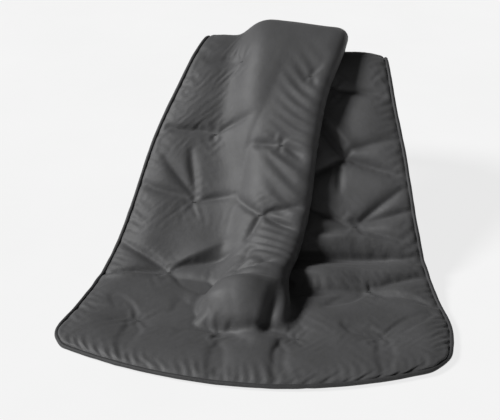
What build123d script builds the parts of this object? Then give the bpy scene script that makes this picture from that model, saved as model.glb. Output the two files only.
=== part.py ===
"""Quilted infrared sauna blanket, draped in a free-standing A with one lengthwise pleat.
Millimetres, +Z up, the front hem faces -Y and the wearer's length runs along Y."""
import os

import numpy as np
from build123d import *

os.makedirs("parts", exist_ok=True)

# ---- driving dimensions -------------------------------------------------------------------
WIDTH = 800.0               # flat width of the quilt
LENGTH = 1800.0             # flat length of the quilt
LOFT = 21.0                 # finished thickness between tufts
EDGE_LOFT = 8.0             # thickness where the skins meet the piping
EDGE_BAND = 70.0            # width over which the loft falls to the edge
TUFT_ROWS, TUFT_COLUMNS = 10, 4
TUFT_PITCH_U, TUFT_PITCH_V = 175.0, 170.0
TUFT_SINK = 0.30            # part of the half loft lost at a tuft
SKIN = 1.4                  # face and back fabric, each with its scrim
GAP = 0.8                   # air between two layers
PIPING = 9.0                # piping diameter, with the cord inside it
CORNER = 34.0               # corner rounding
ORIGIN_X, ORIGIN_Y = 0.55, 727.6             # puts the origin under the middle of the drape

# thin layers between the two battings, as heights above the middle surface
REFLECTOR = (-3.8, -2.6)
HEATER_CARRIER = (-1.8, -0.8)
HEATER_TAPE = (0.0, 0.8)
HEATER_COVER = (1.6, 2.6)
BATTING_INSET, HEATER_INSET = 25.0, 60.0    # how far these layers stop short of the edge
HEATER_END = 1690.0         # the heater stops here to leave room for the socket
TAPE_EDGES = [(70, 108), (612, 644), (681, 719)]
TAPE_START, TAPE_END = 92.0, 1666.0
BUS_WIDTH = 12.0

# ---- power socket, near the back right corner ---------------------------------------------
SOCKET_U, SOCKET_V = 715, 1730.0
FLANGE = (64.0, 42.0, 3.0)
BODY = (40.0, 36.0, 21.0)
BORE_R, BORE_DEPTH = 8.0, 15.0
INSERT_R, INSERT_LENGTH = 6.5, 10.0
CONTACT_R, CONTACT_PITCH = 1.2, 6.0
RIVET_R, RIVET_HEAD = 1.6, 3.2
RIVET_X, RIVET_Y = 26.5, 15.5
WIRE_R = 1.2

# ---- how the quilt is draped --------------------------------------------------------------
FRONT_FLAT, FRONT_FLARE = 219.0, 291.0      # apron on the floor, then the run that turns up
SLOPE = np.radians(43.0)                    # front slope
TOP_AT, TOP_RUN = 830.0, 205.0              # where the top bend starts, and its length
BACK_SLOPE, BACK_FLARE = np.radians(72.0), 200.0
FOLD_RADIUS = 14.0                          # mean radius of each turn of the pleat
# stations along the length, as (distance from the front hem, value)
LEFT = [(0, -407), (135, -380), (305, -350), (475, -316), (645, -281), (815, -222),
        (925, -188), (1100, -205), (1400, -235), (1800, -262)]
LIFT = [(305, 0), (645, 14), (900, 34), (1100, 20), (1400, 0)]
SHEAR = [(135, 0), (305, 14), (475, 30), (815, 30), (1100, 0)]
RIGHT = [(0, 393), (135, 402), (305, 370), (475, 331), (645, 298), (815, 259),
         (925, 242), (1100, 236), (1400, 230), (1800, 228)]
FOLD = [(135, 398), (305, 402), (475, 396), (645, 372), (815, 338), (925, 334),
        (1100, 330), (1400, 340), (1800, 350)]
RISE = [(0, 160), (475, 190), (645, 175), (815, 145), (1100, 145), (1800, 150)]
BOW_LEFT = [(0, 84), (475, 16), (925, 16), (1400, 20), (1800, 30)]
BOW_RIGHT = [(0, 104), (475, 4), (925, 4), (1400, 20), (1800, 30)]


def ease(t):
    """0 to 1 with flat ends."""
    t = np.clip(t, 0, 1)
    return t * t * (3 - 2 * t)


def along(v, stations):
    """A smooth track through the stations, with no overshoot."""
    s = np.array([p[0] for p in stations], float)
    y = np.array([p[1] for p in stations], float)
    h = np.diff(s)
    d = np.diff(y) / h
    same = d[:-1] * d[1:] > 0
    slope = np.where(same, 2 * d[:-1] * d[1:] / np.where(same, d[:-1] + d[1:], 1), 0)
    m = np.concatenate([d[:1], slope, d[-1:]])
    v = np.clip(v, s[0], s[-1])
    i = np.clip(np.searchsorted(s, v) - 1, 0, len(s) - 2)
    t = (v - s[i]) / h[i]
    rise = (3 - 2 * t) * t**2
    return (1 - rise) * y[i] + rise * y[i + 1] + t * (1 - t) * h[i] * ((1 - t) * m[i] - t * m[i + 1])


def profile():
    """Middle line of the drape: arc length, y, z and slope angle. The back hem lies on the floor."""
    s = np.arange(-200.0, LENGTH + 300.0)

    def angle(back_at):
        up = SLOPE * ease((s - FRONT_FLAT) / FRONT_FLARE)
        over = (SLOPE + BACK_SLOPE) * ease((s - TOP_AT) / TOP_RUN)
        return up - over + BACK_SLOPE * ease((s - back_at) / BACK_FLARE)

    low, high = TOP_AT + TOP_RUN, LENGTH
    for _ in range(40):
        middle = (low + high) / 2
        height = np.sum(np.sin(angle(middle))[(s >= 0) & (s < LENGTH)])
        low, high = (middle, high) if height > 0 else (low, middle)
    a = angle(middle)
    y, z = np.cumsum(np.cos(a)), np.cumsum(np.sin(a))
    hem = np.searchsorted(s, 0)
    return s, y - y[hem], z - z[hem] + LOFT / 2, a


PROFILE = profile()
STEPS = 400


def section(amount, fold, rise, u):
    """One cross-section with a pleat: x and height above the drape line, both along u."""
    turn = np.minimum(1, amount)
    overlap = 100 * np.maximum(0, amount - 1)
    run = np.pi * FOLD_RADIUS * (1.3 - 0.3 * turn)

    def bend(t):
        t = np.clip(t, 0, 1)
        return t - 0.08 * np.sin(2 * np.pi * t) / (2 * np.pi)

    down = np.pi * turn * (bend((u - fold) / run) - bend((u - fold - run - overlap) / run))
    lead = overlap + FOLD_RADIUS * turn         # the top run is level over the pleat
    hump = np.sin(np.pi * np.clip((u - fold + lead + rise) / rise, 0, 1)) ** 2
    step = WIDTH / STEPS
    drop = np.sum(np.sin(down), 1, keepdims=True) * step
    gain = drop / (rise / 2)
    for _ in range(6):
        climbed = np.sum(np.sin(gain * hump), 1, keepdims=True) * step
        gain = np.minimum(1.5, gain * drop / np.maximum(climbed, 1e-6))
    angle = gain * hump - down
    x = np.cumsum(np.cos(angle), 1) * step
    n = np.cumsum(np.sin(angle), 1) * step
    x, n = x - x[:, :1], n - n[:, :1]
    return x, n - n[:, -1:] * u / WIDTH


def drape(v):
    """Points of the middle surface for rows v, at STEPS + 1 even places across the width."""
    u = np.linspace(0, WIDTH, STEPS + 1)[None, :]
    v = np.asarray(v, float)[:, None]
    left, right, fold, rise = (along(v, t) for t in (LEFT, RIGHT, FOLD, RISE))
    low, high = np.zeros_like(v), np.full_like(v, 4.0)
    for _ in range(24):
        amount = (low + high) / 2
        wide = section(amount, fold, rise, u)[0][:, -1:] > right - left
        low, high = np.where(wide, amount, low), np.where(wide, high, amount)
    x, n = section(low, fold, rise, u)
    n = n + along(v, LIFT) * (1 - u / WIDTH) ** 3
    bow = np.where(u < WIDTH / 2, along(v, BOW_LEFT), along(v, BOW_RIGHT))
    bow = bow * (2 * u / WIDTH - 1) ** 2 * (1 - 2 * ease((v - 800) / 300))
    bow = bow + along(v, SHEAR) * np.exp(-(((u - FIRST_U) / 90) ** 2))
    s, y, z, a = (np.interp(v + bow, PROFILE[0], line) for line in PROFILE)
    return np.stack([x + left - ORIGIN_X, y - n * np.sin(a) - ORIGIN_Y, z + n * np.cos(a)], -1)


def frames(v):
    """Points, unit tangents across and along, and outward normals of the drape for rows v."""
    v = np.asarray(v, float)
    near = np.clip(np.stack([v - 2, v + 2], 1).ravel(), 0, LENGTH)
    p, q = drape(v), drape(near)
    across, length = np.gradient(p, axis=1), q[1::2] - q[::2]
    across /= np.linalg.norm(across, axis=-1, keepdims=True)
    normal = np.cross(across, length)
    normal /= np.linalg.norm(normal, axis=-1, keepdims=True)
    return p, across, np.cross(normal, across), normal


def half_loft(u, v):
    """Half thickness of the quilt: full between tufts, thin at the edge and sunk at each tuft."""
    def edge(t):
        return np.sin(np.pi / 2 * np.clip(t / EDGE_BAND, 0, 1)) ** 0.8

    def near_tuft(t):
        return (0.5 + 0.5 * np.cos(2 * np.pi * t)) ** 2

    full = edge(np.minimum(u, WIDTH - u)) * edge(np.minimum(v, LENGTH - v))
    sunk = near_tuft((u - FIRST_U) / TUFT_PITCH_U) * near_tuft((v - FIRST_V) / TUFT_PITCH_V)
    return EDGE_LOFT / 2 + (LOFT - EDGE_LOFT) / 2 * full * (1 - TUFT_SINK * 1.36 * sunk)


FIRST_U = (WIDTH - (TUFT_COLUMNS - 1) * TUFT_PITCH_U) / 2
FIRST_V = (LENGTH - (TUFT_ROWS - 1) * TUFT_PITCH_V) / 2
EDGE_STEPS = [0, 3, 9, 18, 30, 46]
COLUMNS = np.array(EDGE_STEPS + list(np.arange(68, 330, 21.875)) + list(np.linspace(330, 660, 56))
                   + list(np.arange(680, 750, 18)) + [WIDTH - t for t in EDGE_STEPS[::-1]])
ROWS = np.array(EDGE_STEPS + list(np.arange(FIRST_V - TUFT_PITCH_V * 3 / 8, LENGTH - 65, TUFT_PITCH_V / 8))
                + [LENGTH - t for t in EDGE_STEPS[::-1]])


def corner_cut(d):
    """How far a row at distance d from the hem stops short of the side, at a rounded corner."""
    d = np.minimum(d, CORNER)
    return CORNER - np.sqrt(CORNER**2 - (CORNER - d) ** 2)


def sheet(low, high, u0=0.0, u1=WIDTH, v0=0.0, v1=LENGTH, corners=False):
    """A closed solid of one layer. low and high give its two sides from the half loft."""
    rows = ROWS[(ROWS > v0 + 1) & (ROWS < v1 - 1)]
    rows = np.concatenate([[v0], rows, [v1]]) if len(rows) > 2 else np.linspace(v0, v1, 5)
    cols = COLUMNS[(COLUMNS > u0 + 1) & (COLUMNS < u1 - 1)]
    cols = np.concatenate([[u0], cols, [u1]]) if len(cols) > 5 else np.linspace(u0, u1, 7)
    points, _, _, normals = frames(rows)
    fine = np.linspace(0, WIDTH, STEPS + 1)
    sides = []
    for height in (low, high):
        wires = []
        for i, v in enumerate(rows):
            cut = corner_cut(min(v, LENGTH - v)) if corners else 0.0
            u = u0 + cut + (cols - u0) * (u1 - u0 - 2 * cut) / (u1 - u0)
            w = height(half_loft(u, v))
            p, n = (np.stack([np.interp(u, fine, line[i, :, k]) for k in range(3)], -1)
                    for line in (points, normals))
            spots = [Vector(*map(float, q)) for q in p + n * np.reshape(w, (-1, 1))]
            spread = [float(t) for t in (cols - u0) / (u1 - u0)]
            wires.append(Wire([Edge.make_spline(spots, parameters=spread)]))
        sides.append(Shell.make_loft(wires).faces()[0])
    walls = [Face.make_surface_from_curves(a, b) for a, b in zip(sides[0].edges(), sides[1].edges())]
    return Solid(Shell(sides + walls))


def level(height):
    """A side of a thin layer, which keeps its height above the middle surface."""
    return lambda h: np.full_like(h, height)


def save(block, name):
    """Labels a finished piece and writes it."""
    block.part.label = name
    export_step(block.part, f"parts/{name}.step")


# ---- the two skins and the two battings ---------------------------------------------------
with BuildPart() as face_panel:
    add(sheet(lambda h: h - SKIN, lambda h: h, corners=True))
with BuildPart() as back_panel:
    add(sheet(lambda h: -h, lambda h: SKIN - h, corners=True))
inner = dict(u0=BATTING_INSET, u1=WIDTH - BATTING_INSET, v0=BATTING_INSET, v1=LENGTH - BATTING_INSET)
with BuildPart() as upper_batting:
    add(sheet(level(HEATER_COVER[1] + GAP), lambda h: h - SKIN - GAP, **inner))
with BuildPart() as lower_batting:
    add(sheet(lambda h: SKIN + GAP - h, level(REFLECTOR[0] - GAP), **inner))

# ---- the heater: reflective barrier, carrier cloth, tapes and cover cloth --------------------
inner = dict(u0=HEATER_INSET, u1=WIDTH - HEATER_INSET, v0=HEATER_INSET, v1=HEATER_END)
with BuildPart() as reflective_barrier:
    add(sheet(level(REFLECTOR[0]), level(REFLECTOR[1]), **inner))
with BuildPart() as heater_carrier:
    add(sheet(level(HEATER_CARRIER[0]), level(HEATER_CARRIER[1]), **inner))
with BuildPart() as heater_cover:
    add(sheet(level(HEATER_COVER[0]), level(HEATER_COVER[1]), **inner))
tape = (level(HEATER_TAPE[0]), level(HEATER_TAPE[1]))
for number, (start, stop) in enumerate(TAPE_EDGES, 1):
    with BuildPart() as heating_tape:
        add(sheet(*tape, u0=start, u1=stop, v0=TAPE_START, v1=TAPE_END))
    save(heating_tape, f"heating_tape_{number}")
with BuildPart() as bus_tape_foot:
    add(sheet(*tape, u0=70.0, u1=736.0, v0=TAPE_START - GAP - BUS_WIDTH, v1=TAPE_START - GAP))
with BuildPart() as bus_tape_head:
    add(sheet(*tape, u0=70.0, u1=720.0, v0=TAPE_END + GAP, v1=TAPE_END + GAP + BUS_WIDTH))
with BuildPart() as return_tape:
    add(sheet(*tape, u0=724.0, u1=736.0, v0=TAPE_START, v1=TAPE_END + BUS_WIDTH))

# ---- piping round the whole edge ----------------------------------------------------------


def edge_points():
    """Centres of the piping, from the middle of the back hem all the way round to it."""
    spots = []                      # u, v and the outward direction in the flat quilt
    sides = [(WIDTH, 0, 1, 108), (LENGTH, 1, 0, 40), (WIDTH, 0, -1, 12), (LENGTH, -1, 0, 40)]
    u, v = CORNER, LENGTH
    for size, out_u, out_v, count in sides:
        run = size - 2 * CORNER
        step = np.array([out_v, -out_u])
        for k in range(count + 1):
            spots.append((*(np.array([u, v]) + step * run * k / count), out_u, out_v))
        u, v = np.array([u, v]) + step * run
        out = np.array([out_u, out_v], float)
        middle = np.array([u, v]) - out * CORNER
        for turn in np.radians([22.5, 45, 67.5]):
            d = out * np.cos(turn) + step * np.sin(turn)
            spots.append((*(middle + d * CORNER), *d))
        u, v = middle + step * CORNER
    half = sides[0][3] // 2
    spots = spots[half:] + spots[:half]
    fine = np.linspace(0, WIDTH, STEPS + 1)
    result = []
    for u, v, out_u, out_v in spots:
        at = [[np.interp(u, fine, line[0, :, k]) for k in range(3)] for line in frames([v])]
        out = out_u * np.array(at[1]) + out_v * np.array(at[2])
        out /= np.linalg.norm(out)
        result.append(np.array(at[0]) + out * (PIPING / 2 + 0.6))
    return result


def rounded(points):
    """Straight runs between the points, with a tangent arc at each turn. Lines for BuildLine."""
    kept = [points[0]]
    for here, after in zip(points[1:], points[2:]):
        a, b = here - kept[-1], after - here
        if np.degrees(np.arccos(np.clip(a @ b / np.linalg.norm(a) / np.linalg.norm(b), -1, 1))) > 0.5:
            kept.append(here)
    kept.append(points[-1])
    place = kept[0]
    for before, here, after in zip(kept, kept[1:], kept[2:]):
        a, b = here - before, after - here
        cut = 0.45 * min(np.linalg.norm(a), np.linalg.norm(b))
        a, b = a / np.linalg.norm(a), b / np.linalg.norm(b)
        start, stop = here - a * cut, here + b * cut
        half_turn = np.arccos(np.clip(a @ b, -1, 1)) / 2
        radius = cut / np.tan(half_turn)
        inward = (b - a) / np.linalg.norm(b - a)
        middle = here + inward * radius * (1 / np.cos(half_turn) - 1)
        Line(tuple(place), tuple(start))
        ThreePointArc(tuple(start), tuple(middle), tuple(stop))
        place = stop
    Line(tuple(place), tuple(kept[-1]))


edge = edge_points()
edge.append(edge[0] + (edge[-1] - edge[0]) * 0.01)
with BuildLine() as edge_line:
    rounded(edge)
edge_start = Plane(edge_line.line @ 0, z_dir=edge_line.line % 0)
with BuildPart() as piping:
    with BuildSketch(edge_start):
        Circle(PIPING / 2)
    sweep(path=edge_line.line)

# ---- tufting: one row of stitched ties at a time ---------------------------------------------
TIE_R, TACK = 0.9, (13.0, 2.6, 1.6)
for row in range(TUFT_ROWS):
    v = FIRST_V + row * TUFT_PITCH_V
    points, across, _, normals = frames([v])
    with BuildPart() as ties:
        for column in range(TUFT_COLUMNS):
            u = FIRST_U + column * TUFT_PITCH_U
            i = int(round(u * STEPS / WIDTH))
            h = float(half_loft(np.array([u]), v)[0])
            spot = Plane(tuple(points[0, i]), x_dir=tuple(across[0, i]), z_dir=tuple(normals[0, i]))
            with Locations(spot):
                Cylinder(TIE_R, 2 * h)
                with Locations((0, 0, h + 0.3), (0, 0, -h - 0.3)):
                    Box(*TACK)
    save(ties, f"tuft_ties_{row + 1:02d}")

# ---- power socket on the face, riveted to a plate under it -----------------------------------
anchor = frames([SOCKET_V])[0][0, int(SOCKET_U * STEPS / WIDTH)]
base = Plane((float(anchor[0]), float(anchor[1]), LOFT + 0.2))
bore_z = FLANGE[2] + BODY[2] / 2
mouth = BODY[1] / 2
with BuildPart() as inlet_housing:
    with BuildSketch(base):
        RectangleRounded(FLANGE[0], FLANGE[1], 6)
    extrude(amount=FLANGE[2])
    with BuildSketch(base.offset(FLANGE[2])):
        RectangleRounded(BODY[0], BODY[1], 5)
    extrude(amount=BODY[2])
    fillet(inlet_housing.edges().group_by(Axis.Z)[-1], 3.0)
    with BuildSketch(base):
        with GridLocations(2 * RIVET_X, 2 * RIVET_Y, 2, 2):
            Circle(RIVET_R + 0.15)
    extrude(amount=FLANGE[2], mode=Mode.SUBTRACT)
    face = Plane(base.origin + Vector(0, mouth, bore_z), x_dir=(1, 0, 0), z_dir=(0, 1, 0))
    with BuildSketch(face):
        Circle(BORE_R)
    extrude(amount=-BORE_DEPTH, mode=Mode.SUBTRACT)
    with BuildSketch(face.offset(-BORE_DEPTH)):
        Circle(INSERT_R)
    extrude(amount=-INSERT_LENGTH, mode=Mode.SUBTRACT)
    # wire chamber behind the insert, open downwards through the flange
    with BuildSketch(base):
        with Locations((0, mouth - BORE_DEPTH - INSERT_LENGTH - 3.5)):
            Rectangle(14, 7)
    extrude(amount=bore_z + INSERT_R, mode=Mode.SUBTRACT)
with BuildPart() as inlet_insert:
    with BuildSketch(face.offset(-BORE_DEPTH)):
        Circle(INSERT_R - 0.05)
        with GridLocations(CONTACT_PITCH, 1, 2, 1):
            Circle(CONTACT_R + 0.02, mode=Mode.SUBTRACT)
    extrude(amount=-INSERT_LENGTH)
for number, side in enumerate((-1, 1), 1):
    with BuildPart() as inlet_contact:
        with BuildSketch(face.offset(-BORE_DEPTH)):
            with Locations((side * CONTACT_PITCH / 2, 0)):
                Circle(CONTACT_R)
        extrude(amount=-INSERT_LENGTH - 2.0)
    save(inlet_contact, f"inlet_contact_{number}")
with BuildPart() as inlet_clamp_plate:
    with BuildSketch(base.offset(-SKIN - 0.4)):
        RectangleRounded(FLANGE[0], FLANGE[1], 6)
        with GridLocations(2 * RIVET_X, 2 * RIVET_Y, 2, 2):
            Circle(RIVET_R + 0.15, mode=Mode.SUBTRACT)
        with Locations((0, mouth - BORE_DEPTH - INSERT_LENGTH - 3.5)):
            Rectangle(14, 7, mode=Mode.SUBTRACT)
    extrude(amount=-1.6)
plate_under = -SKIN - 2.0
number = 0
for x in (-RIVET_X, RIVET_X):
    for y in (-RIVET_Y, RIVET_Y):
        number += 1
        with BuildPart() as inlet_rivet:
            with BuildSketch(base.offset(plate_under - 0.05)):
                with Locations((x, y)):
                    Circle(RIVET_R)
            extrude(amount=FLANGE[2] - plate_under + 0.15)
            with BuildSketch(base.offset(FLANGE[2] + 0.05)):
                with Locations((x, y)):
                    Circle(RIVET_HEAD)
            extrude(amount=1.3, taper=30)
            with BuildSketch(base.offset(plate_under - 0.05)):
                with Locations((x, y)):
                    Circle(RIVET_HEAD - 0.5)
            extrude(amount=-1.0)
        save(inlet_rivet, f"inlet_rivet_{number}")

# ---- wiring inside the quilt, on the flat stretch by the socket ------------------------------
tail_y = mouth - BORE_DEPTH - INSERT_LENGTH - 2.6
middle_z = LOFT / 2 - base.origin.Z            # the quilt's middle surface, seen from the socket base


def wire(*points):
    """A round insulated wire through points given from the socket base."""
    spots = [base.origin + Vector(*p) for p in points]
    with BuildPart() as made:
        with BuildLine() as route:
            FilletPolyline(*spots, radius=3.0)
        with BuildSketch(Plane(route.line @ 0, z_dir=route.line % 0)):
            Circle(WIRE_R)
        sweep(path=route.line)
    return made


lead_z = middle_z + HEATER_COVER[1] + GAP + WIRE_R
head_y = float(frames([TAPE_END])[0][0, 340][1]) - float(anchor[1])
for number, (x, reach) in enumerate(((-3.0, 20.0), (3.0, 31.0)), 1):
    lead = wire((x, tail_y, bore_z), (x, tail_y - 3.2, bore_z - 4), (x, tail_y - 3.2, lead_z),
                (x * 1.5, tail_y - 22, lead_z), (x * 1.5 + (number - 1) * 22, head_y + 8, lead_z))
    save(lead, f"power_lead_{number}")
with BuildPart() as thermal_cutout:
    with BuildSketch(base.offset(middle_z + HEATER_COVER[1] + GAP)):
        with Locations((-62, head_y - 26)):
            RectangleRounded(9, 20, 2)
    extrude(amount=4.5)
with BuildPart() as temperature_sensor:
    with BuildSketch(base.offset(middle_z + HEATER_COVER[1] + GAP)):
        with Locations((-40, head_y - 40)):
            SlotOverall(12, 5)
    extrude(amount=3.6)
sensor_lead = wire((-40, head_y - 36, lead_z + 0.4), (-40, head_y - 10, lead_z + 0.4),
                   (-24, head_y + 14, lead_z + 0.4), (-24, tail_y - 12, lead_z + 0.4),
                   (-9, tail_y - 6, lead_z + 0.4))

for name, block in (("face_panel", face_panel), ("back_panel", back_panel),
                    ("upper_batting", upper_batting), ("lower_batting", lower_batting),
                    ("reflective_barrier", reflective_barrier), ("heater_carrier", heater_carrier),
                    ("heater_cover", heater_cover), ("bus_tape_foot", bus_tape_foot),
                    ("bus_tape_head", bus_tape_head), ("return_tape", return_tape),
                    ("piping", piping),
                    ("inlet_housing", inlet_housing), ("inlet_insert", inlet_insert),
                    ("inlet_clamp_plate", inlet_clamp_plate), ("thermal_cutout", thermal_cutout),
                    ("temperature_sensor", temperature_sensor), ("sensor_lead", sensor_lead)):
    save(block, name)
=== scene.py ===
"""Looks of the draped, tufted sauna blanket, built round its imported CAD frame."""
import math

import bpy
import numpy as np
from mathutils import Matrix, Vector


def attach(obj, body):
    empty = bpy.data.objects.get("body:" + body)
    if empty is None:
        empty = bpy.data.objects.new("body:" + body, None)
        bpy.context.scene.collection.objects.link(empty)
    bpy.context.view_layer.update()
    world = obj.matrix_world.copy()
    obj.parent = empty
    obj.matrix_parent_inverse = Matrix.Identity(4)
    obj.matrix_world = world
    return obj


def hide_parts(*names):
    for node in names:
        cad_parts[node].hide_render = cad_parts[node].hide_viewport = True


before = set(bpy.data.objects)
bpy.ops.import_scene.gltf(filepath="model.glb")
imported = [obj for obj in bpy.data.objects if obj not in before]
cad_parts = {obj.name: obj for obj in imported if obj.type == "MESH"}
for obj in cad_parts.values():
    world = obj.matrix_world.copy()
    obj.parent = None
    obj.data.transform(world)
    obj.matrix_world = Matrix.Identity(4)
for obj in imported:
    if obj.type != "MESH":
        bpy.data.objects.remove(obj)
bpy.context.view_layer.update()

# ---- driving dimensions, in millimetres; meshes are made in metres --------------------------
MM = 0.001
WIDTH, LENGTH = 800.0, 1800.0
LOFT, EDGE_BAND, CORNER, PIPING = 21.0, 70.0, 34.0, 9.0
TUFT_ROWS, TUFT_COLUMNS = 10, 4
TUFT_PITCH_U, TUFT_PITCH_V = 175.0, 170.0
FIRST_U = (WIDTH - (TUFT_COLUMNS - 1) * TUFT_PITCH_U) / 2
FIRST_V = (LENGTH - (TUFT_ROWS - 1) * TUFT_PITCH_V) / 2
ORIGIN_X, ORIGIN_Y = 0.55, 727.6   # of the frame, from the middle of the front hem as draped
SOCKET_U, SOCKET_V = 715.0, 1730.0
HEATER_INSET, HEATER_END = 60.0, 1690.0
TAPE_EDGES = [(70, 108), (612, 644), (681, 719)]
TAPE_START, TAPE_END = 92.0, 1666.0
BUS_LEFT, BUS_RIGHT = 70, 720      # the head bus tape; the foot one runs on to the return tape
BUS_GAP, BUS_WIDE = 1.0, 12.0
RETURN_EDGES = (724, 736)

# How the quilt is draped: stations are (distance from the front hem, value). LEFT and RIGHT are
# the x of the long edges, LIFT the rise of the left edge, SHEAR the lag of the first tuft column,
# FOLD the place across the quilt where the pleat turns, RISE the width of the swell before it,
# and BOW_LEFT and BOW_RIGHT the lag of each edge along the quilt.
FRONT_FLAT, FRONT_FLARE, SLOPE = 219.0, 291.0, np.radians(43.0)
TOP_AT, TOP_RUN, BACK_SLOPE, BACK_FLARE = 830.0, 205.0, np.radians(72.0), 200.0
FOLD_RADIUS = 14.0
APRON_FLAT = 70.0                  # the pleat has no height nearer the front hem than this
LEFT = [(0, -407), (135, -380), (305, -350), (475, -316), (645, -281), (815, -222),
        (925, -188), (1100, -205), (1400, -235), (1800, -262)]
LIFT = [(305, 0), (645, 14), (900, 34), (1100, 20), (1400, 0)]
SHEAR = [(135, 0), (305, 14), (475, 30), (815, 30), (1100, 0)]
RIGHT = [(0, 393), (135, 402), (305, 370), (475, 331), (645, 298), (815, 259),
         (925, 242), (1100, 236), (1400, 230), (1800, 228)]
FOLD = [(135, 398), (305, 402), (475, 396), (645, 372), (815, 338), (925, 334),
        (1100, 330), (1400, 340), (1800, 350)]
RISE = [(0, 160), (475, 190), (645, 175), (815, 145), (1100, 145), (1800, 150)]
BOW_LEFT = [(0, 84), (475, 16), (925, 16), (1400, 20), (1800, 30)]
BOW_RIGHT = [(0, 104), (475, 4), (925, 4), (1400, 20), (1800, 30)]

# creases of the whole quilt: from (u, v) to (u, v), height (negative for a valley), width
CREASES = [
    ((236, 300), (242, 820), -5.5, 38.0), ((10, 282), (128, 304), -10.0, 11.0),
    ((8, 262), (110, 286), 5.0, 10.0), ((12, 378), (128, 312), -7.0, 10.0),
    ((148, 316), (262, 378), -9.0, 12.0), ((150, 298), (250, 258), -7.0, 11.0),
    ((150, 330), (240, 410), 5.0, 13.0), ((14, 528), (125, 482), -6.0, 10.0),
    ((40, 590), (132, 492), -6.0, 10.0), ((140, 492), (96, 600), -5.0, 9.0),
    ((148, 480), (228, 520), -5.0, 10.0), ((20, 668), (125, 648), -6.0, 10.0),
    ((142, 652), (220, 700), -4.0, 10.0), ((30, 840), (125, 818), -4.0, 10.0),
    ((10, 130), (126, 136), -6.0, 12.0), ((60, 190), (128, 142), -6.0, 11.0),
    ((148, 128), (285, 186), -8.0, 14.0), ((142, 122), (150, 30), -6.0, 11.0),
    ((190, 286), (330, 262), -13.0, 14.0), ((392, 150), (462, 152), -13.0, 15.0),
    ((205, 215), (238, 140), -9.0, 14.0), ((250, 190), (345, 200), 9.0, 30.0),
    ((300, 232), (392, 226), 7.0, 22.0), ((300, 140), (380, 118), -8.0, 15.0),
    ((330, 98), (350, 20), -6.0, 14.0), ((452, 118), (470, 24), -6.0, 14.0),
    ((480, 392), (798, 410), -15.0, 19.0), ((470, 345), (650, 328), 8.0, 24.0),
    ((480, 446), (790, 458), 7.0, 24.0), ((500, 352), (760, 362), 6.0, 16.0),
    ((675, 316), (790, 352), -8.0, 11.0),
    ((675, 298), (784, 250), -7.0, 11.0), ((500, 286), (650, 303), -8.0, 12.0),
    ((560, 240), (652, 296), -7.0, 11.0), ((675, 482), (795, 522), -9.0, 11.0),
    ((672, 488), (786, 572), -7.0, 11.0), ((675, 470), (792, 446), -8.0, 11.0),
    ((545, 530), (652, 482), -8.0, 12.0), ((560, 450), (650, 474), -6.0, 11.0),
    ((570, 800), (656, 655), -11.0, 15.0), ((672, 640), (794, 604), -11.0, 14.0),
    ((600, 780), (690, 668), 6.0, 18.0), ((585, 596), (655, 640), -8.0, 12.0),
    ((678, 660), (785, 694), -6.0, 11.0), ((650, 634), (640, 560), -5.0, 10.0),
    ((590, 168), (652, 142), -7.0, 11.0), ((676, 130), (786, 118), -7.0, 11.0),
    ((672, 144), (770, 210), -6.0, 11.0), ((664, 122), (676, 24), -6.0, 11.0),
    ((560, 842), (650, 820), -5.0, 11.0), ((676, 812), (780, 800), -5.0, 10.0),
    ((326, 474), (400, 440), -9.0, 11.0), ((240, 512), (302, 482), -7.0, 10.0),
    ((326, 482), (404, 506), -6.0, 10.0), ((312, 468), (300, 400), -6.0, 11.0),
    ((326, 642), (380, 604), -7.0, 11.0), ((248, 640), (302, 645), -6.0, 10.0),
    ((326, 300), (398, 330), -8.0, 12.0), ((312, 318), (322, 392), -6.0, 12.0),
]
CREASE_DEPTH, CREASE_SPREAD = 1.85, 1.05   # multiply the heights and the widths in the list
CREASE_POWER = 1.4                         # roundness of the bottom: 1 is a sharp line, 2 a bell
# pillows and hollows: middle (u, v), reach across and along, height
PILLOWS = [((335, 205), (78, 50), 19.0), ((335, 138), (90, 13), -13.0), ((418, 190), (14, 42), -15.0),
           ((238, 190), (13, 44), -10.0), ((352, 262), (60, 10), -8.0),
           ((610, 470), (90, 40), 5.0), ((700, 400), (80, 12), -6.0), ((225, 560), (60, 60), -5.0),
           ((60, 390), (40, 60), 5.0), ((600, 560), (40, 60), 6.0), ((720, 730), (50, 60), 4.0),
           ((90, 740), (70, 60), 4.0), ((560, 210), (70, 50), 7.0), ((420, 60), (120, 30), 3.0)]

STEP_U, STEP_V = 180, 400          # cells across and along the simulated skins
SMOOTHING = 30                     # passes that even out the middle surface along the quilt
LOWEST = 0.375 * LOFT              # least height of the middle surface over the floor
COARSE_ROUNDS, FINE_ROUNDS = 140, 150   # of the solver, on every second point and then on all
EASE, EDGE_EASE, TUFT_EASE = 0.008, 0.045, 0.050   # extra fabric: everywhere, by the seam, by a tuft
PLUMP, PLEAT_PLUMP = 15.0, 11.0    # how high the wadding pushes a skin: in the open, in the pleat
TUFT_DEPTH = 5.4                   # height of a skin over the middle surface at a tuft
DIMPLE = 46.0                      # how far the hollow round a tuft reaches
WRINKLE = 3.2                      # how far a skin may buckle out past its wadding
SIDESLIP = 7.0                     # or slide along it
SEAM_GAP = 1.2                     # height of a skin over the middle surface at the edge seam
PIN_REACH = 9.0                    # how far round a tuft the fabric is held
ROUGH_CELL, ROUGH_HIGH = 4, 0.8    # cells and height of the unevenness a skin starts with
SEAT_U, SEAT_V = 40, 30            # half size of the flat seat under the socket
FACE_SEED, BACK_SEED, PIPING_SEED = 5, 9, 3

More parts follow.
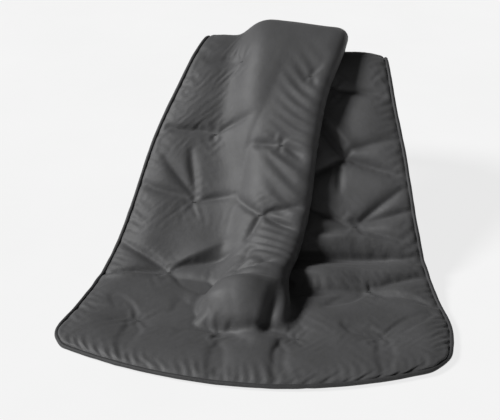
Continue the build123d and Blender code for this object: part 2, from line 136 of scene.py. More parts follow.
PIPING_STEP, PIPING_AROUND = 4.0, 14    # spacing of the rings of the piping, and points in each
PIPING_OUT = 3.5                   # from the seam to the middle of the piping
PUCKER_STEP = 14                   # spacing of the uneven stitching along the piping
STITCHES, STITCH_PITCH = 9, 1.15   # in one tack
UNDER_SKIN = 2.2                   # least gap between the wadding and a skin
WADDING_UPPER, WADDING_LOWER = 3.2, -4.4   # heights at which the wadding starts
RIM_CELLS = 6                      # cells at the edge that hold no wadding
# heights of the bottom and the top of each heater layer over the middle surface
INNER = {"reflective_barrier": (-3.8, -2.6), "heater_carrier": (-1.8, -0.8),
         "heater_cover": (1.6, 2.6)}
TAPE_LEVELS = (0.0, 0.8)


def ease(t):
    """A smooth step from 0 to 1."""
    t = np.clip(t, 0, 1)
    return t * t * (3 - 2 * t)


def along(v, stations):
    """A smooth track through the stations, with no overshoot."""
    s = np.array([p[0] for p in stations], float)
    y = np.array([p[1] for p in stations], float)
    h = np.diff(s)
    d = np.diff(y) / h
    same = d[:-1] * d[1:] > 0
    slope = np.where(same, 2 * d[:-1] * d[1:] / np.where(same, d[:-1] + d[1:], 1), 0)
    m = np.concatenate([d[:1], slope, d[-1:]])
    v = np.clip(v, s[0], s[-1])
    i = np.clip(np.searchsorted(s, v) - 1, 0, len(s) - 2)
    t = (v - s[i]) / h[i]
    rise = (3 - 2 * t) * t**2
    return (1 - rise) * y[i] + rise * y[i + 1] + t * (1 - t) * h[i] * ((1 - t) * m[i] - t * m[i + 1])


def profile():
    """Middle line of the drape: arc length, y, z and slope angle."""
    s = np.arange(-200.0, LENGTH + 300.0)

    def angle(back_at):
        up = SLOPE * ease((s - FRONT_FLAT) / FRONT_FLARE)
        over = (SLOPE + BACK_SLOPE) * ease((s - TOP_AT) / TOP_RUN)
        return up - over + BACK_SLOPE * ease((s - back_at) / BACK_FLARE)

    low, high = TOP_AT + TOP_RUN, LENGTH
    for _ in range(40):
        middle = (low + high) / 2
        height = np.sum(np.sin(angle(middle))[(s >= 0) & (s < LENGTH)])
        low, high = (middle, high) if height > 0 else (low, middle)
    a = angle(middle)
    y, z = np.cumsum(np.cos(a)), np.cumsum(np.sin(a))
    hem = np.searchsorted(s, 0)
    return s, y - y[hem], z - z[hem] + LOFT / 2, a


PROFILE = profile()
FINE = 360                         # steps across a section when it is worked out


def section(amount, fold, rise, u):
    """One cross-section with a pleat: x and height above the drape line, both along u."""
    turn = np.minimum(1, amount)
    overlap = 100 * np.maximum(0, amount - 1)
    run = np.pi * FOLD_RADIUS * (1.3 - 0.3 * turn)

    def bend(t):
        t = np.clip(t, 0, 1)
        return t - 0.08 * np.sin(2 * np.pi * t) / (2 * np.pi)

    down = np.pi * turn * (bend((u - fold) / run) - bend((u - fold - run - overlap) / run))
    lead = overlap + FOLD_RADIUS * turn
    hump = np.sin(np.pi * np.clip((u - fold + lead + rise) / rise, 0, 1)) ** 2
    step = WIDTH / FINE
    drop = np.sum(np.sin(down), 1, keepdims=True) * step
    gain = drop / (rise / 2)
    for _ in range(6):
        climbed = np.sum(np.sin(gain * hump), 1, keepdims=True) * step
        gain = np.minimum(1.5, gain * drop / np.maximum(climbed, 1e-6))
    angle = gain * hump - down
    x = np.cumsum(np.cos(angle), 1) * step
    n = np.cumsum(np.sin(angle), 1) * step
    x, n = x - x[:, :1], n - n[:, :1]
    return x, n - n[:, -1:] * u / WIDTH


def drape(v):
    """Points of the middle surface for rows v, at FINE + 1 even places across the width."""
    u = np.linspace(0, WIDTH, FINE + 1)[None, :]
    v = np.asarray(v, float)[:, None]
    left, right, fold, rise = (along(v, t) for t in (LEFT, RIGHT, FOLD, RISE))
    low, high = np.zeros_like(v), np.full_like(v, 4.0)
    for _ in range(24):
        amount = (low + high) / 2
        wide = section(amount, fold, rise, u)[0][:, -1:] > right - left
        low, high = np.where(wide, amount, low), np.where(wide, high, amount)
    x, n = section(low, fold, rise, u)
    n = n * ease((v - APRON_FLAT) / 150) + along(v, LIFT) * (1 - u / WIDTH) ** 3
    bow = np.where(u < WIDTH / 2, along(v, BOW_LEFT), along(v, BOW_RIGHT))
    bow = bow * (2 * u / WIDTH - 1) ** 2 * (1 - 2 * ease((v - 800) / 300))
    bow = bow + along(v, SHEAR) * np.exp(-(((u - FIRST_U) / 90) ** 2))
    s, y, z, a = (np.interp(v + bow, PROFILE[0], line) for line in PROFILE)
    return np.stack([x + left - ORIGIN_X, y - n * np.sin(a) - ORIGIN_Y, z + n * np.cos(a)], -1)


def unit(a):
    return a / np.maximum(np.linalg.norm(a, axis=-1, keepdims=True), 1e-9)


def middle_surface():
    """Flat (u, v) places of the simulated grid, its points on the drape and the normals there."""
    v = np.linspace(0, LENGTH, STEP_V + 1)
    d = np.minimum(np.minimum(v, LENGTH - v), CORNER)
    cut = CORNER - np.sqrt(CORNER**2 - (CORNER - d) ** 2)
    u = cut[:, None] + np.linspace(0, 1, STEP_U + 1)[None, :] * (WIDTH - 2 * cut[:, None])
    flat = np.stack([u, np.repeat(v[:, None], STEP_U + 1, 1)], -1)
    spots = drape(v)
    fine = np.linspace(0, WIDTH, FINE + 1)
    p = np.stack([[np.interp(u[i], fine, spots[i, :, k]) for i in range(len(v))]
                  for k in range(3)], -1)
    for _ in range(SMOOTHING):
        p[1:-1] = (p[:-2] + 2 * p[1:-1] + p[2:]) / 4
    n = unit(np.cross(np.gradient(p, axis=1), np.gradient(p, axis=0)))
    return flat, p, n


def crease_field(flat):
    """Ridges and valleys that the whole quilt bends into."""
    total = np.zeros(flat.shape[:2])
    for start, stop, height, width in CREASES:
        a, b = np.array(start, float), np.array(stop, float)
        run = b - a
        t = np.clip(((flat - a) @ run) / (run @ run), 0, 1)
        gap = np.linalg.norm(flat - a - t[..., None] * run, axis=-1)
        shape = np.exp(-((gap / (width * CREASE_SPREAD)) ** CREASE_POWER))
        total += height * CREASE_DEPTH * np.sin(np.pi * (0.12 + 0.76 * t)) * shape
    for (u, v), (wide, long), height in PILLOWS:
        total += height * np.exp(-(((flat[..., 0] - u) / wide) ** 2) - ((flat[..., 1] - v) / long) ** 2)
    return total


def gathers(u, v, rim):
    """Small pleats where the cloth is drawn in: along the seam and along the folded edge."""
    fold = along(v, FOLD)
    drift = 2.5 * np.sin(v / 61) + 1.7 * np.sin(v / 37 + 1) + 1.2 * np.sin(u / 43)
    rolled = np.exp(-(((u - fold + 34) / 40) ** 2)) * ease((v - 250) / 80) * ease((900 - v) / 100)
    folded = 2.8 * np.sin(2 * np.pi * (v + 0.55 * (u - fold)) / 31 + drift) * rolled
    run = np.where(np.minimum(u, WIDTH - u) < np.minimum(v, LENGTH - v), v, u)
    swell = 0.5 + 0.5 * np.sin(run / 83 + 2) * np.sin(run / 31)
    seam = 1.2 * np.sin(2 * np.pi * (run + 0.4 * rim) / 20
                        + 2.6 * np.sin(run / 53) + 1.9 * np.sin(run / 29))
    return folded + seam * swell * np.exp(-(((rim - 16) / 20) ** 2))


# ---- the skins: fabric over wadding, held by the tufts and the edge seam ---------------------


def tuft_places():
    return [(FIRST_U + c * TUFT_PITCH_U, FIRST_V + r * TUFT_PITCH_V)
            for r in range(TUFT_ROWS) for c in range(TUFT_COLUMNS)]


def pull(x, free, a, b, rest, taut, slack):
    """Moves the points of one set of threads towards their rest lengths."""
    d = x[b] - x[a]
    size = np.sqrt((d * d).sum(-1))
    share = free[a] + free[b]
    s = (size - rest) / np.maximum(size, 1e-5) / np.maximum(share, 1e-5)
    s *= np.where(size > rest, taut, slack)
    x[a] += d * (s * free[a])[..., None]
    x[b] -= d * (s * free[b])[..., None]


def thread_sets(rows, columns):
    """Slices of thread ends. No point is in a set twice."""
    whole = slice(None)
    sets = []
    for p in (0, 1):
        sets.append(((whole, slice(p, columns - 1, 2)), (whole, slice(p + 1, columns, 2)), 1.0, 0.75))
        sets.append(((slice(p, rows - 1, 2), whole), (slice(p + 1, rows, 2), whole), 1.0, 0.75))
        here, there = slice(p, rows - 1, 2), slice(p + 1, rows, 2)
        sets.append(((here, slice(0, columns - 1)), (there, slice(1, columns)), 0.35, 0.2))
        sets.append(((here, slice(1, columns)), (there, slice(0, columns - 1)), 0.35, 0.2))
    for r in range(4):
        sets.append(((whole, slice(r, columns - 2, 4)), (whole, slice(r + 2, columns, 4)), 0.0, 0.55))
        sets.append(((slice(r, rows - 2, 4), whole), (slice(r + 2, rows, 4), whole), 0.0, 0.55))
    return sets


def relax(x, flat, p, n, side, target, free, slack_map, rounds):
    """Settles one skin over the wadding."""
    x, p, n = (t.astype(np.float32) for t in (x, p, n))
    free, target = free.astype(np.float32), target.astype(np.float32)
    wanted = p + n * target[..., None]
    most = np.abs(target) + WRINKLE
    sets = []
    for a, b, taut, slack in thread_sets(*x.shape[:2]):
        extra = 1 + (slack_map[a] + slack_map[b]) / 2
        cut = np.linalg.norm(flat[b] - flat[a], axis=-1) * extra
        shaped = np.linalg.norm(wanted[b] - wanted[a], axis=-1) * extra
        sets.append((a, b, (0.08 * cut + 0.92 * shaped).astype(np.float32), taut, slack))
    for _ in range(rounds):
        w = ((x - p) * n).sum(-1)
        x += n * ((target - w) * 0.035 * free)[..., None]
        for a, b, rest, taut, slack in sets:
            pull(x, free, a, b, rest, taut, slack)
        off = x - p
        w = (off * n).sum(-1)
        slip = off - n * w[..., None]
        far = np.sqrt((slip * slip).sum(-1))
        slip *= np.minimum(1, SIDESLIP / np.maximum(far, 1e-5))[..., None]
        w = side * np.clip(side * w, 1.0, most)
        held = p + slip + n * w[..., None]
        held[..., 2] = np.maximum(held[..., 2], 0.4)
        x = np.where(free[..., None] > 0, held, x)
    return x


def pleat_share(u, v):
    """1 inside the pleat, where the quilt lies three layers deep, fading to 0 outside it."""
    fold, left, right = (along(v, t) for t in (FOLD, LEFT, RIGHT))
    hidden = np.maximum(0, WIDTH - (right - left)) * 0.62
    inside = np.minimum(u - (fold - 6), fold + hidden - u)
    return ease(inside / 24 + 0.5) * ease((v - 200) / 120)


def twice_as_fine(grid):
    """The grid with a point added half way between each two neighbours."""
    rows, columns = grid.shape[:2]
    tall = np.empty((2 * rows - 1, columns, 3))
    tall[::2], tall[1::2] = grid, (grid[:-1] + grid[1:]) / 2
    fine = np.empty((2 * rows - 1, 2 * columns - 1, 3))
    fine[:, ::2], fine[:, 1::2] = tall, (tall[:, :-1] + tall[:, 1:]) / 2
    return fine


def skin(side, flat, p, n):
    """Points of the face (side 1) or back (side -1) skin."""
    rows, columns = flat.shape[:2]
    u, v = flat[..., 0], flat[..., 1]
    rim = np.minimum(np.minimum(u, WIDTH - u), np.minimum(v, LENGTH - v))
    fill = np.sin(np.pi / 2 * np.clip(rim / EDGE_BAND, 0, 1)) ** 0.6
    near = np.min([np.hypot(u - a, v - b) for a, b in tuft_places()], 0)
    share = pleat_share(u, v)
    full = PLUMP + (PLEAT_PLUMP - PLUMP) * share
    hollow = np.exp(-((near / DIMPLE) ** 1.3))
    height = SEAM_GAP + (full - SEAM_GAP - (full - TUFT_DEPTH) * hollow * (1 - 0.6 * share)) * fill
    height += gathers(u, v, rim) * (1 - np.exp(-((near / 22) ** 2)))
    slack_map = EASE + EDGE_EASE * np.exp(-((rim / 42) ** 2)) + TUFT_EASE * np.exp(-((near / 55) ** 2))
    slack_map = (slack_map * (1 - 0.8 * share)).astype(np.float32)
    free = np.ones((rows, columns))
    free[[0, -1], :] = 0
    free[:, [0, -1]] = 0
    target = side * height
    start = p + n * target[..., None]
    rng = np.random.default_rng(FACE_SEED if side > 0 else BACK_SEED)
    rough = rng.normal(size=(rows // ROUGH_CELL + 2, columns // ROUGH_CELL + 2))
    rough = np.kron(rough, np.ones((ROUGH_CELL, ROUGH_CELL)))[:rows, :columns]
    start += n * (side * ROUGH_HIGH * rough * fill)[..., None]
    edge = free == 0
    start[edge] = (p + n * (side * SEAM_GAP))[edge]
    for cu, cv in tuft_places():
        away = np.hypot(u - cu, (v - cv) * 1.5)
        pinned = away < PIN_REACH
        i = np.unravel_index(np.argmin(away), away.shape)
        depth = TUFT_DEPTH + 1.2 * (away[pinned] / PIN_REACH) ** 2
        gathered = p[i] + 0.55 * (p[pinned] - p[i])
        start[pinned] = gathered + n[pinned] * (side * depth)[:, None]
        free[pinned] = 0
    if side > 0:
        seat = (np.abs(u - SOCKET_U) < SEAT_U) & (np.abs(v - SOCKET_V) < SEAT_V)
        start[seat] = (p + n * (LOFT / 2))[seat]
        free[seat] = 0
    coarse = (slice(None, None, 2), slice(None, None, 2))
    settled = relax(start[coarse], flat[coarse], p[coarse], n[coarse], side, target[coarse],
                    free[coarse], slack_map[coarse], COARSE_ROUNDS)
    x = np.where(free[..., None] > 0, p + twice_as_fine(settled - p[coarse]), start)
    x = relax(x, flat, p, n, side, target, free, slack_map, FINE_ROUNDS)
    for _ in range(2):
        soft = x.copy()
        soft[1:-1, 1:-1] = (x[:-2, 1:-1] + x[2:, 1:-1] + x[1:-1, :-2] + x[1:-1, 2:]) / 4
        x = x + 0.4 * (soft - x) * free[..., None]
    return x


# ---- meshes ----------------------------------------------------------------------------------


def make_mesh(name, points, faces, uv=None):
    """A smooth-shaded mesh in metres, with its flat pattern as UV map where one is given."""
    mesh = bpy.data.meshes.new(name)
    mesh.from_pydata([tuple(map(float, q)) for q in points], [], faces)
    if uv is not None:
        layer = mesh.uv_layers.new(name="flat")
        loops = np.empty(len(mesh.loops), np.int32)
        mesh.loops.foreach_get("vertex_index", loops)
        layer.data.foreach_set("uv", np.asarray(uv, np.float32)[loops].ravel())
    mesh.polygons.foreach_set("use_smooth", [True] * len(mesh.polygons))
    mesh.update()
    piece = bpy.data.objects.new(name, mesh)
    bpy.context.collection.objects.link(piece)
    return piece


def grid_faces(rows, columns, flip=False, start=0):
    i = np.arange((rows - 1) * (columns - 1))
    a = start + i // (columns - 1) * columns + i % (columns - 1)
    quads = np.stack([a, a + 1, a + columns + 1, a + columns], 1)
    return (quads[:, ::-1] if flip else quads).tolist()


def sheet_piece(name, x, flat, flip):
    rows, columns = x.shape[:2]
    return make_mesh(name, x.reshape(-1, 3) * MM, grid_faces(rows, columns, flip),
                     flat.reshape(-1, 2) * MM)


def border(rows, columns):
    """Row and column of each point on the border of a grid, in order round it."""
    ring = [(0, j) for j in range(columns)] + [(i, columns - 1) for i in range(1, rows)]
    ring += [(rows - 1, j) for j in range(columns - 2, -1, -1)]
    return ring + [(i, 0) for i in range(rows - 2, 0, -1)]


def slab_piece(name, low, high, flat):
    """A closed pad between two grids of points."""
    rows, columns = low.shape[:2]
    count = rows * columns
    faces = grid_faces(rows, columns, True) + grid_faces(rows, columns, False, count)
    ring = [i * columns + j for i, j in border(rows, columns)]
    for a, b in zip(ring, ring[1:] + ring[:1]):
        faces.append([a, b, b + count, a + count])
    points = np.concatenate([low.reshape(-1, 3), high.reshape(-1, 3)]) * MM
    return make_mesh(name, points, faces, np.concatenate([flat.reshape(-1, 2)] * 2) * MM)


def piping_piece(p, n):
    """A closed tube of bias fabric along the edge seam, slightly puckered by its stitching."""
    rows_at, columns_at = np.array(border(*p.shape[:2])).T
    path, up = p[rows_at, columns_at], n[rows_at, columns_at]
    length = np.concatenate([[0], np.cumsum(np.linalg.norm(np.diff(path, axis=0), axis=1))])
    total = length[-1] + np.linalg.norm(path[0] - path[-1])
    even = np.arange(0, total, PIPING_STEP)
    place = np.append(length, total)

    def evenly(a):
        closed = np.concatenate([a, a[:1]])
        return np.stack([np.interp(even, place, closed[:, k]) for k in range(3)], 1)

    path, up = evenly(path), unit(evenly(up))
    for _ in range(6):
        path = (np.roll(path, 1, 0) + 2 * path + np.roll(path, -1, 0)) / 4
    ahead = unit(np.roll(path, -1, 0) - np.roll(path, 1, 0))
    out = unit(np.cross(ahead, up))
    up = np.cross(out, ahead)
    around = PIPING_AROUND
    turn = np.arange(around) / around * 2 * np.pi
    rng = np.random.default_rng(PIPING_SEED)
    stations = np.arange(0, total + PUCKER_STEP, PUCKER_STEP)
    waver = np.interp(even, stations, rng.normal(size=len(stations)))
    pucker = 1 + 0.035 * waver + 0.03 * np.sin(even / 9.5 + 2 * np.sin(even / 70))
    radius = PIPING / 2 * pucker
    centre = path + out * PIPING_OUT
    ringed = centre[:, None] + radius[:, None, None] * (
        out[:, None] * np.cos(turn)[None, :, None] + up[:, None] * np.sin(turn)[None, :, None])
    count = len(even)
    faces = []
    for i in range(count):
        k = (i + 1) % count
        for j in range(around):
            m = (j + 1) % around
            faces.append([i * around + j, k * around + j, k * around + m, i * around + m])
    uv = np.stack(np.broadcast_arrays(even[:, None], (turn * PIPING / 2)[None, :]), -1)
    points = ringed.reshape(-1, 3)
    points[:, 2] = np.maximum(points[:, 2], 0.5)
    return make_mesh("piping_tube", points * MM, faces, uv.reshape(-1, 2) * MM)


def tube(points, radius, around):
    """A capped tube through points, as mesh data in millimetres."""
    points = np.asarray(points, float)
    ahead = unit(np.gradient(points, axis=0))
    across = unit(np.cross(ahead, np.array([0.31, 0.2, 0.93])))
    above = np.cross(across, ahead)
    turn = np.arange(around) / around * 2 * np.pi
    size = np.full(len(points), radius)
    size[[0, -1]] *= 0.45
    ringed = points[:, None] + size[:, None, None] * (
        across[:, None] * np.cos(turn)[None, :, None] + above[:, None] * np.sin(turn)[None, :, None])
    faces = []
    for i in range(len(points) - 1):
        for j in range(around):
            m = (j + 1) % around
            faces.append([i * around + j, i * around + m, (i + 1) * around + m, (i + 1) * around + j])
    faces.append(list(range(around))[::-1])
    faces.append([(len(points) - 1) * around + j for j in range(around)])
    return ringed.reshape(-1, 3), faces


def tie_row(row, face, back, flat, n):
    """The four stitched ties of one row: a tack of close stitches on each side and the shank."""
    points, faces, uv = [], [], []

    def add(data):
        start = sum(len(q) for q in points)
        points.append(data[0])
        faces.extend([[start + k for k in f] for f in data[1]])
        uv.append(data[0][:, :2])

    for column in range(TUFT_COLUMNS):
        u, v = FIRST_U + column * TUFT_PITCH_U, FIRST_V + row * TUFT_PITCH_V
        away = np.hypot(flat[..., 0] - u, flat[..., 1] - v)
        i, j = np.unravel_index(np.argmin(away), away.shape)
        for x, side in ((face, 1.0), (back, -1.0)):
            spot = x[i, j] + n[i, j] * side * 0.5
            across = unit(x[i, j + 1] - x[i, j - 1])
            length = np.cross(n[i, j], across)
            for k in range(STITCHES):
                lean = 1.1 if k % 2 else -1.1
                at = spot + across * (k - STITCHES // 2) * STITCH_PITCH
                ends = [at - length * 2.0 - across * lean * 0.4 - n[i, j] * side * 0.7,
                        at - length * 1.2, at + n[i, j] * side * 0.35, at + length * 1.2,
                        at + length * 2.0 + across * lean * 0.4 - n[i, j] * side * 0.7]
                add(tube(ends, 0.55, 5))
        add(tube([back[i, j], (face[i, j] + back[i, j]) / 2, face[i, j]], 0.9, 8))
    return make_mesh(f"tacks_{row + 1:02d}", np.concatenate(points) * MM, faces,
                     np.concatenate(uv) * MM)


# ---- materials -------------------------------------------------------------------------------


def material(name, colour, roughness, **socket_values):
    """A principled material with its constant values set on the shader."""
    made = bpy.data.materials.new(name)
    made.use_nodes = True
    shader = made.node_tree.nodes["Principled BSDF"]
    shader.inputs["Base Color"].default_value = (*colour, 1)
    shader.inputs["Roughness"].default_value = roughness
    for key, value in socket_values.items():
        shader.inputs[key.replace("_", " ")].default_value = value
    return made, made.node_tree, shader


def node(tree, kind, **values):
    made = tree.nodes.new(kind)
    for key, value in values.items():
        if key in made.inputs:
            made.inputs[key].default_value = value
        else:
            setattr(made, key, value)
    return made


def vary(tree, shader, coords, dark, light, scale):
    """Slow blotches of colour between dark and light."""
    noise = node(tree, "ShaderNodeTexNoise", Scale=scale, Detail=4.0, Roughness=0.6)
    ramp = node(tree, "ShaderNodeValToRGB")
    ramp.color_ramp.elements[0].position, ramp.color_ramp.elements[1].position = 0.3, 0.7
    ramp.color_ramp.elements[0].color = (*dark, 1)
    ramp.color_ramp.elements[1].color = (*light, 1)
    tree.links.new(coords, noise.inputs["Vector"])
    tree.links.new(noise.outputs["Fac"], ramp.inputs["Fac"])
    tree.links.new(ramp.outputs["Color"], shader.inputs["Base Color"])


def weave(tree, shader, coords, pitch, strength, slub, rotate):
    """Crossing threads, with slubs and a soft crumple, as a bump."""
    turned = node(tree, "ShaderNodeMapping")
    turned.inputs["Rotation"].default_value = (0, 0, rotate)
    tree.links.new(coords, turned.inputs["Vector"])
    waves = []
    for direction in ("X", "Y"):
        wave = node(tree, "ShaderNodeTexWave", Scale=0.314 / pitch, Distortion=0.6, Detail=1.0)
        wave.bands_direction = direction
        tree.links.new(turned.outputs["Vector"], wave.inputs["Vector"])
        waves.append(wave)
    cross = node(tree, "ShaderNodeMath", operation="MULTIPLY")
    tree.links.new(waves[0].outputs["Fac"], cross.inputs[0])
    tree.links.new(waves[1].outputs["Fac"], cross.inputs[1])
    crumple = node(tree, "ShaderNodeTexNoise", Scale=95.0, Detail=3.0, Roughness=0.55)
    tree.links.new(coords, crumple.inputs["Vector"])
    soft = node(tree, "ShaderNodeBump", Strength=slub, Distance=0.0016)
    fine = node(tree, "ShaderNodeBump", Strength=strength, Distance=0.0003)
    tree.links.new(crumple.outputs["Fac"], soft.inputs["Height"])
    tree.links.new(cross.outputs["Value"], fine.inputs["Height"])
    tree.links.new(soft.outputs["Normal"], fine.inputs["Normal"])
    tree.links.new(fine.outputs["Normal"], shader.inputs["Normal"])


def flat_coords(tree):
    return node(tree, "ShaderNodeUVMap", uv_map="flat").outputs["UV"]


def object_coords(tree):
    return node(tree, "ShaderNodeTexCoord").outputs["Object"]


def rough_map(tree, shader, coords, low, high, scale):
    """Roughness that wanders between low and high."""
    noise = node(tree, "ShaderNodeTexNoise", Scale=scale, Detail=3.0)
    spread = node(tree, "ShaderNodeMapRange")
    spread.inputs["To Min"].default_value = low
    spread.inputs["To Max"].default_value = high
    tree.links.new(coords, noise.inputs["Vector"])
    tree.links.new(noise.outputs["Fac"], spread.inputs["Value"])
    tree.links.new(spread.outputs["Result"], shader.inputs["Roughness"])


def fabric(name, dark, light, pitch, sheen, low, high, strength=0.35, slub=0.35, rotate=0.0):
    """A woven cloth, its threads at the given pitch in metres along the flat pattern."""
    made, tree, shader = material(name, light, high, Sheen_Weight=sheen, Sheen_Roughness=0.45,
                                  Specular_IOR_Level=0.36)
    at = flat_coords(tree)
    vary(tree, shader, at, dark, light, 14.0)
    rough_map(tree, shader, at, low, high, 30.0)
    weave(tree, shader, at, pitch, strength, slub, rotate)
    return made


def moulded(name, dark, light, roughness, grain, **more):
    """A solid plastic or metal with a fine grain."""
    made, tree, shader = material(name, light, roughness, **more)
    at = object_coords(tree)
    vary(tree, shader, at, dark, light, 60.0)
    rough_map(tree, shader, at, roughness - 0.06, roughness + 0.08, 180.0)
    noise = node(tree, "ShaderNodeTexNoise", Scale=2200.0, Detail=2.0)
    bump = node(tree, "ShaderNodeBump", Strength=grain, Distance=0.0002)
    tree.links.new(at, noise.inputs["Vector"])
    tree.links.new(noise.outputs["Fac"], bump.inputs["Height"])
    tree.links.new(bump.outputs["Normal"], shader.inputs["Normal"])
    return made


def dress(piece, made):
    piece.data.materials.clear()
    piece.data.materials.append(made)


# ---- pieces ----------------------------------------------------------------------------------

flat, middle, normal = middle_surface()
middle = middle + normal * crease_field(flat)[..., None]
middle[..., 2] = np.maximum(middle[..., 2], LOWEST)
face = skin(1.0, flat, middle, normal)
back = skin(-1.0, flat, middle, normal)

face_skin = sheet_piece("face_skin", face, flat, False)
back_skin = sheet_piece("back_skin", back, flat, True)
piping_tube = piping_piece(middle, normal)
keep = (slice(RIM_CELLS, -RIM_CELLS), slice(RIM_CELLS, -RIM_CELLS))


def fill_between(name, x, inner):
    """Wadding from a level near the heater out to just under a skin."""
    w = np.abs(((x - middle) * normal).sum(-1))
    reach = w.copy()
    for step in ((2, 0), (-2, 0), (0, 2), (0, -2), (1, 1), (-1, -1), (1, -1), (-1, 1)):
        reach = np.minimum(reach, np.roll(w, step, (0, 1)))
    side = 1.0 if inner > 0 else -1.0
    top = side * np.maximum(reach - UNDER_SKIN, abs(inner) + 0.3)
    under = middle + normal * top[..., None]
    base = middle + normal * inner
    low, high = (base, under) if inner > 0 else (under, base)
    return slab_piece(name, low[keep], high[keep], flat[keep])


wadding_upper = fill_between("wadding_upper", face, WADDING_UPPER)
wadding_lower = fill_between("wadding_lower", back, WADDING_LOWER)


def inner_layer(name, levels, u0, u1, v0, v1):
    """A thin layer of the heater: a slab that keeps its height above the middle surface."""
    u, v = flat[len(flat) // 2, :, 0], flat[:, 0, 1]
    columns = np.flatnonzero((u > u0 - 1) & (u < u1 + 1))
    rows = np.flatnonzero((v > v0 - 1) & (v < v1 + 1))
    part = np.ix_(rows, columns)
    low, high = (middle[part] + normal[part] * level for level in levels)
    return slab_piece(name, low, high, flat[part])


inner_sheets = {name: inner_layer(f"{name}_cloth", levels, HEATER_INSET, WIDTH - HEATER_INSET,
                                  HEATER_INSET, HEATER_END)
                for name, levels in INNER.items()}
tapes = {f"heating_tape_{k}": inner_layer(f"carbon_tape_{k}", TAPE_LEVELS, a, b, TAPE_START, TAPE_END)
         for k, (a, b) in enumerate(TAPE_EDGES, 1)}
FOOT_AT, HEAD_AT = TAPE_START - BUS_GAP, TAPE_END + BUS_GAP
braids = {
    "bus_tape_foot": inner_layer("foot_braid", TAPE_LEVELS, BUS_LEFT, RETURN_EDGES[1],
                                 FOOT_AT - BUS_WIDE, FOOT_AT),
    "bus_tape_head": inner_layer("head_braid", TAPE_LEVELS, BUS_LEFT, BUS_RIGHT,
                                 HEAD_AT, HEAD_AT + BUS_WIDE),
    "return_tape": inner_layer("return_braid", TAPE_LEVELS, *RETURN_EDGES,
                               TAPE_START, TAPE_END + BUS_WIDE)}
tie_rows = [tie_row(r, face, back, flat, normal) for r in range(TUFT_ROWS)]

CHARCOAL, CHARCOAL_LIGHT = (0.062, 0.062, 0.063), (0.078, 0.078, 0.080)
face_cloth = fabric("charcoal_sateen", CHARCOAL, CHARCOAL_LIGHT, 0.0011, 0.06, 0.52, 0.64)
back_cloth = fabric("charcoal_plain_weave", (0.05, 0.05, 0.051), (0.064, 0.064, 0.066), 0.0013,
                    0.10, 0.66, 0.78)
# The piping is the same charcoal sateen as the face, painted darker: painted shade for the dark
# underside and contact shadow along the hem.
piping_cloth_painted_shade = fabric("bias_sateen_painted_shade", (0.032, 0.032, 0.033), (0.044, 0.044, 0.045), 0.0011, 0.06,
                      0.58, 0.70, rotate=math.pi / 4)
thread = fabric("bonded_thread", (0.05, 0.05, 0.052), (0.08, 0.08, 0.082), 0.0004, 0.2, 0.5, 0.6,
                0.6, 0.1, math.pi / 5)
wadding = fabric("polyester_wadding", (0.74, 0.74, 0.72), (0.86, 0.86, 0.84), 0.004, 0.6, 0.85,
                 0.95, 0.2, 1.0)
scrim = fabric("non_woven_scrim", (0.66, 0.65, 0.6), (0.8, 0.79, 0.74), 0.0016, 0.2, 0.8, 0.9)
tape_cloth = fabric("carbon_tape", (0.02, 0.02, 0.022), (0.05, 0.05, 0.055), 0.0018, 0.0, 0.35, 0.5,
                    0.8)
nylon = moulded("moulded_nylon", (0.03, 0.03, 0.031), (0.045, 0.045, 0.047), 0.48, 0.5)
smooth_nylon = moulded("smooth_nylon", (0.02, 0.02, 0.021), (0.03, 0.03, 0.032), 0.3, 0.1)
silicone = moulded("silicone_jacket", (0.10, 0.10, 0.10), (0.14, 0.14, 0.14), 0.5, 0.2)
steel = moulded("plated_steel", (0.48, 0.48, 0.49), (0.6, 0.6, 0.61), 0.34, 0.2, Metallic=1.0)
brass = moulded("flashed_brass", (0.7, 0.55, 0.26), (0.82, 0.68, 0.38), 0.28, 0.1, Metallic=1.0)
copper = moulded("tinned_braid", (0.6, 0.36, 0.22), (0.74, 0.48, 0.32), 0.36, 0.6, Metallic=1.0)
foil = moulded("metallised_film", (0.68, 0.69, 0.71), (0.8, 0.81, 0.83), 0.24, 0.5, Metallic=1.0)


def finish_piece(piece, made, stands_for):
    """Dresses a piece, hangs it under the root body and hides the CAD node it stands for."""
    dress(piece, made)
    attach(piece, "root")
    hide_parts(stands_for)


finish_piece(face_skin, face_cloth, "face_panel")
finish_piece(back_skin, back_cloth, "back_panel")
finish_piece(piping_tube, piping_cloth_painted_shade, "piping")
finish_piece(wadding_upper, wadding, "upper_batting")
finish_piece(wadding_lower, wadding, "lower_batting")
for stands_for, piece in inner_sheets.items():
    shiny = stands_for == "reflective_barrier"
    finish_piece(piece, foil if shiny else scrim, stands_for)
for stands_for, piece in tapes.items():
    finish_piece(piece, tape_cloth, stands_for)
for stands_for, piece in braids.items():
    finish_piece(piece, copper, stands_for)
for row, piece in enumerate(tie_rows, 1):
    finish_piece(piece, thread, f"tuft_ties_{row:02d}")

NODE_LOOKS = {"inlet_housing": nylon, "inlet_insert": smooth_nylon,
              "inlet_contact": brass, "inlet_rivet": steel, "inlet_clamp": steel,
              "power_lead": silicone, "sensor_lead": silicone, "thermal": smooth_nylon,
              "temperature": smooth_nylon}
for name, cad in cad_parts.items():
    for start, made in NODE_LOOKS.items():
        if name.startswith(start):
            if not cad.data.materials:
                dress(cad, made)
            for place in cad.material_slots:
                place.material = made


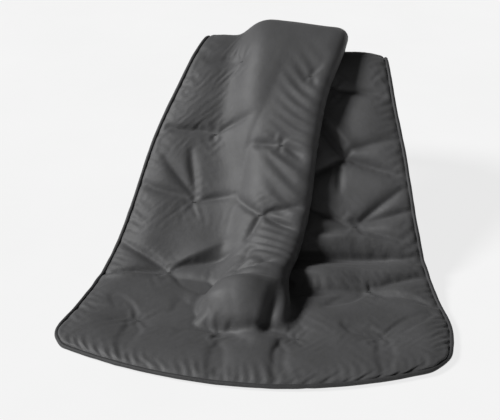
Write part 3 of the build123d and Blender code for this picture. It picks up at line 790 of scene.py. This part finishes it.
# ---- stage, light and camera -----------------------------------------------------------------

FLOOR_REACH = 90                   # metres each way, past the horizon of any view
WORLD_STRENGTH, SUN_STRENGTH, SUN_ANGLE = 0.06, 4.3, 16
SUN_DIRECTION = (0.76, 0.20, -0.62)


def stage_floor():
    made, tree, shader = material("pale_floor", (0.11, 0.11, 0.11), 0.9, Specular_IOR_Level=0.1,
                                  Emission_Color=(1, 1, 1, 1), Emission_Strength=0.80)
    vary(tree, shader, object_coords(tree), (0.10, 0.10, 0.10), (0.12, 0.12, 0.12), 2.0)
    corners = [(-1, -1, 0), (1, -1, 0), (1, 1, 0), (-1, 1, 0)]
    floor = make_mesh("floor", [(x * FLOOR_REACH, y * FLOOR_REACH, z) for x, y, z in corners],
                      [[0, 1, 2, 3]])
    dress(floor, made)


def studio():
    world = bpy.data.worlds.new("studio")
    bpy.context.scene.world = world
    world.use_nodes = True
    background = world.node_tree.nodes["Background"]
    background.inputs["Color"].default_value = (1, 1, 1, 1)
    background.inputs["Strength"].default_value = WORLD_STRENGTH
    data = bpy.data.lights.new("key", "SUN")
    data.energy, data.angle = SUN_STRENGTH, math.radians(SUN_ANGLE)
    key = bpy.data.objects.new("key", data)
    key.rotation_euler = Vector(SUN_DIRECTION).to_track_quat("-Z", "Y").to_euler()
    bpy.context.collection.objects.link(key)
    bpy.context.scene.view_settings.view_transform = "Standard"


def camera():
    """Low three-quarter view of the front hem."""
    azimuth, elevation, distance = math.radians(7.2), math.radians(30.7), 1.8
    target = Vector((-0.012, -0.52085, 0.2728))
    back_to_camera = Vector((math.sin(azimuth) * math.cos(elevation),
                             -math.cos(azimuth) * math.cos(elevation), math.sin(elevation)))
    data = bpy.data.cameras.new("camera")
    data.sensor_width, data.lens = 36.0, 66.3
    made = bpy.data.objects.new("camera", data)
    made.location = target + back_to_camera * distance
    made.rotation_euler = (-back_to_camera).to_track_quat("-Z", "Y").to_euler()
    bpy.context.collection.objects.link(made)
    bpy.context.scene.camera = made


stage_floor()
studio()
camera()
